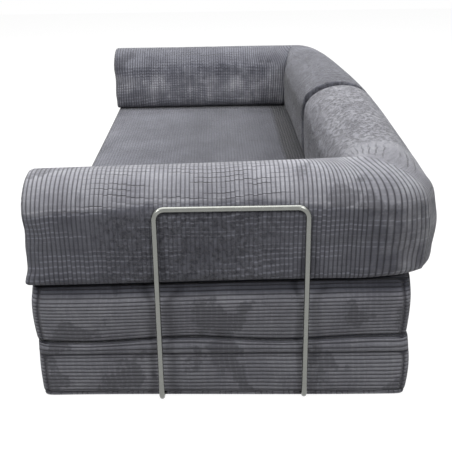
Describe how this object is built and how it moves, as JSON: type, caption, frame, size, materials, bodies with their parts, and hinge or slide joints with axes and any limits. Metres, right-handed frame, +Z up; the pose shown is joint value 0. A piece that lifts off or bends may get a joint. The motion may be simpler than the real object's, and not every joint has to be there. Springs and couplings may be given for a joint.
{
  "type": "sofa bed",
  "caption": "Low sofa bed of two stacked mattress halves on a cloth hinge, with loose L-shaped corner bolsters as arms and back and bent tube brackets.",
  "frame": {"origin": "on the floor, under the middle of the whole sofa", "axes": "+X along the sofa, to the right of someone who faces its front; +Y from the front to the back; +Z up"},
  "size_m": [1.8678, 0.881, 0.5183],
  "materials": {
    "corduroy": "grey wide-wale corduroy with a velvet sheen, over a thin quilted lining",
    "hinge_cloth": "plain woven hinge cloth in the cover grey",
    "firm_foam": "firm polyurethane foam",
    "soft_foam": "soft polyurethane foam",
    "base_cloth": "dark non-slip bottom cloth",
    "zip_tape": "woven zip tape with coil teeth",
    "zip_metal": "satin plated zip slider",
    "bracket_steel": "polished round steel tube",
    "cap_plastic": "black plastic end caps"
  },
  "bodies": {
    "lower_half": {"lower_cover": "corduroy", "lower_support_foam": "firm_foam", "lower_comfort_foam": "soft_foam", "lower_base_cloth": "base_cloth", "hinge_strip_lower": "hinge_cloth", "lower_zip": "zip_tape"},
    "upper_half": {"upper_cover": "corduroy", "upper_support_foam": "firm_foam", "upper_comfort_foam": "soft_foam", "hinge_strip_upper": "hinge_cloth", "upper_zip": "zip_tape"},
    "right_bolster": {"right_bolster_cover": "corduroy", "right_arm_foam": "firm_foam", "right_back_foam": "firm_foam", "right_bolster_zip": "zip_tape"},
    "left_bolster": {"left_bolster_cover": "corduroy", "left_arm_foam": "firm_foam", "left_back_foam": "firm_foam", "left_bolster_zip": "zip_tape"},
    "right_bracket": {"right_arm_bracket": "bracket_steel", "right_arm_bracket_caps": "cap_plastic"},
    "left_bracket": {"left_arm_bracket": "bracket_steel", "left_arm_bracket_caps": "cap_plastic"},
    "lower_zip_runner": {"lower_zip_slider": "zip_metal", "lower_zip_pull": "zip_metal"},
    "upper_zip_runner": {"upper_zip_slider": "zip_metal", "upper_zip_pull": "zip_metal"},
    "right_bolster_zip_runner": {"right_bolster_zip_slider": "zip_metal", "right_bolster_zip_pull": "zip_metal"},
    "left_bolster_zip_runner": {"left_bolster_zip_slider": "zip_metal", "left_bolster_zip_pull": "zip_metal"}
  },
  "joints": [
    {"name": "mattress_fold", "type": "hinge", "parent": "lower_half", "child": "upper_half", "pos_m": [0, -0.4408, 0.143], "axis": [1, 0, 0], "range_deg": [0, 180]},
    {"name": "right_bolster_turn", "type": "hinge", "parent": "upper_half", "child": "right_bolster", "pos_m": [0, 0.4405, 0.2848], "axis": [1, 0, 0], "range_deg": [-180, 0]},
    {"name": "left_bolster_turn", "type": "hinge", "parent": "upper_half", "child": "left_bolster", "pos_m": [0, 0.4405, 0.2848], "axis": [1, 0, 0], "range_deg": [-180, 0]},
    {"name": "right_bracket_pull", "type": "slide", "parent": "lower_half", "child": "right_bracket", "axis": [1, 0, 0], "range_m": [0, 0.3]},
    {"name": "left_bracket_pull", "type": "slide", "parent": "lower_half", "child": "left_bracket", "axis": [-1, 0, 0], "range_m": [0, 0.3]},
    {"name": "lower_zip_run", "type": "slide", "parent": "lower_half", "child": "lower_zip_runner", "axis": [0, -1, 0], "range_m": [0, 0.576]},
    {"name": "upper_zip_run", "type": "slide", "parent": "upper_half", "child": "upper_zip_runner", "axis": [0, 1, 0], "range_m": [0, 0.576]},
    {"name": "right_bolster_zip_run", "type": "slide", "parent": "right_bolster", "child": "right_bolster_zip_runner", "axis": [-1, 0, 0], "range_m": [0, 0.496]},
    {"name": "left_bolster_zip_run", "type": "slide", "parent": "left_bolster", "child": "left_bolster_zip_runner", "axis": [1, 0, 0], "range_m": [0, 0.496]}
  ],
  "couplings": [
    {"joint": "right_bolster_turn", "follows": "mattress_fold", "ratio": -1},
    {"joint": "left_bolster_turn", "follows": "mattress_fold", "ratio": -1}
  ]
}
